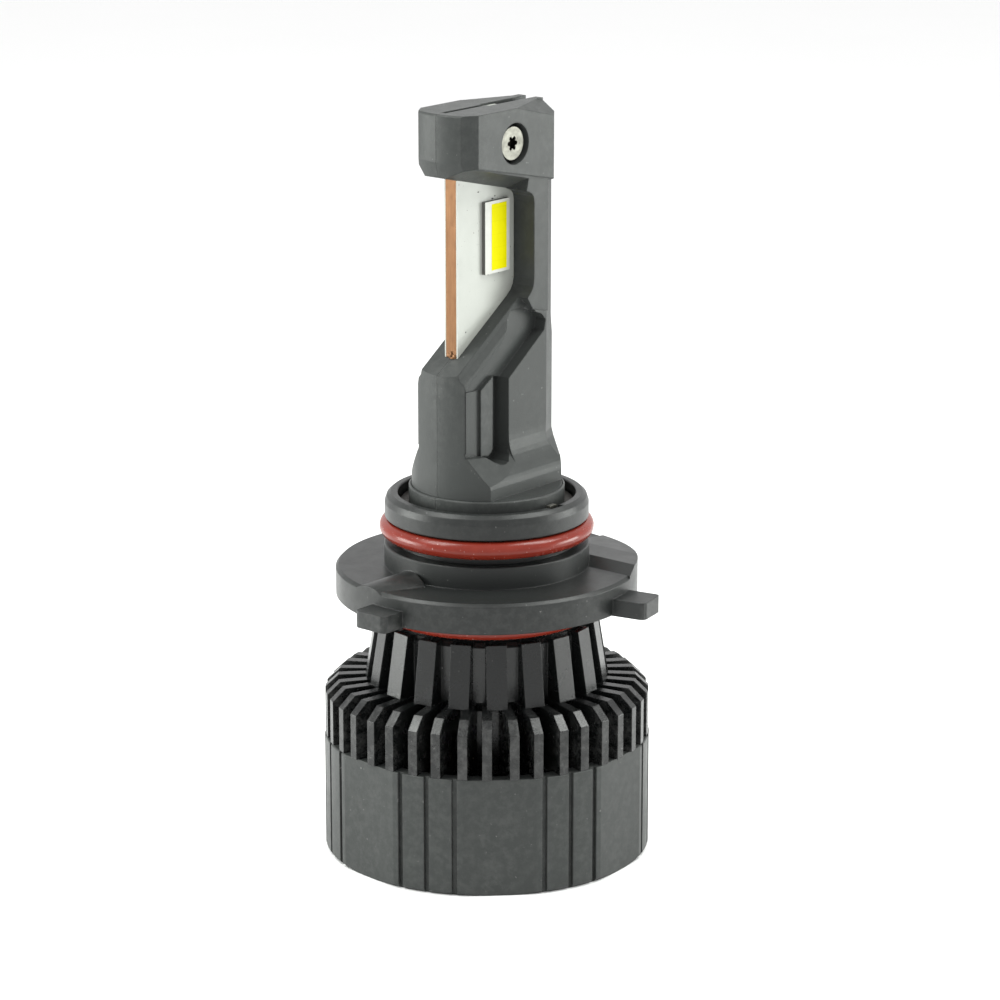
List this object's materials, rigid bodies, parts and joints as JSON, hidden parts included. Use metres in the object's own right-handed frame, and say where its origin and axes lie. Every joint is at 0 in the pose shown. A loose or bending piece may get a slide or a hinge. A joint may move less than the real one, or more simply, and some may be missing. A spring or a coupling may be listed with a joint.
{
  "type": "led headlight bulb",
  "caption": "LED headlight bulb: a slotted lamp stem with light plates on two faces, a turnable flanged cap collar with a seal, a finned heat sink and a round fan housing.",
  "frame": {"origin": "on the bulb's axis, in the upper face of the cap flange", "axes": "+Z from the fan housing to the lamp head; the two light faces look along -Y and +Y"},
  "size_m": [0.0332, 0.0339, 0.0738],
  "materials": {
    "anodised_grey": "satin dark grey anodised, fine grain",
    "fin_black": "dark anodised cast aluminium",
    "red_silicone": "glossy red silicone",
    "copper": "bare copper",
    "board_white": "white solder mask",
    "phosphor": "yellow phosphor layer",
    "package": "white ceramic package",
    "steel": "plain steel",
    "black_plastic": "black moulded plastic",
    "board_green": "green circuit board",
    "electronics": "black electronic parts",
    "magnet": "sintered magnet",
    "winding": "enamelled copper wire",
    "bronze": "sintered bronze",
    "lead_insulation": "red lead insulation",
    "rubber_black": "black rubber"
  },
  "bodies": {
    "lamp": {"fan_shell": "anodised_grey", "vent_cover": "black_plastic", "case_screws": "steel", "heat_sink": "fin_black", "neck_o_ring": "red_silicone", "retaining_ring": "steel", "stem_shell_front": "anodised_grey", "stem_shell_rear": "anodised_grey", "head_screw": "steel", "copper_core": "copper", "led_board_front": "board_white", "led_board_rear": "board_white", "board_end_tab": "board_white", "led_package_front": "package", "led_phosphor_front": "phosphor", "led_package_rear": "package", "led_phosphor_rear": "phosphor", "fan_frame": "black_plastic", "fan_bearing": "bronze", "fan_circuit_board": "board_green", "stator_core": "steel", "stator_windings": "winding", "driver_board": "board_green", "driver_inductor": "electronics", "driver_capacitors": "electronics", "driver_chips": "electronics", "driver_board_screws": "steel", "led_leads": "lead_insulation", "fan_leads": "lead_insulation", "cable_grommet": "rubber_black"},
    "collar": {"base_collar": "anodised_grey", "socket_o_ring": "red_silicone"},
    "rotor": {"fan_impeller": "black_plastic", "rotor_yoke": "steel", "rotor_magnet": "magnet", "fan_shaft": "steel", "shaft_clip": "steel"}
  },
  "joints": [
    {"name": "fan_spin", "type": "hinge", "parent": "lamp", "child": "rotor", "pos_m": [0, 0, -0.0245], "axis": [0, 0, 1], "continuous": true},
    {"name": "collar_turn", "type": "hinge", "parent": "lamp", "child": "collar", "pos_m": [0, 0, 0], "axis": [0, 0, 1], "continuous": true}
  ]
}
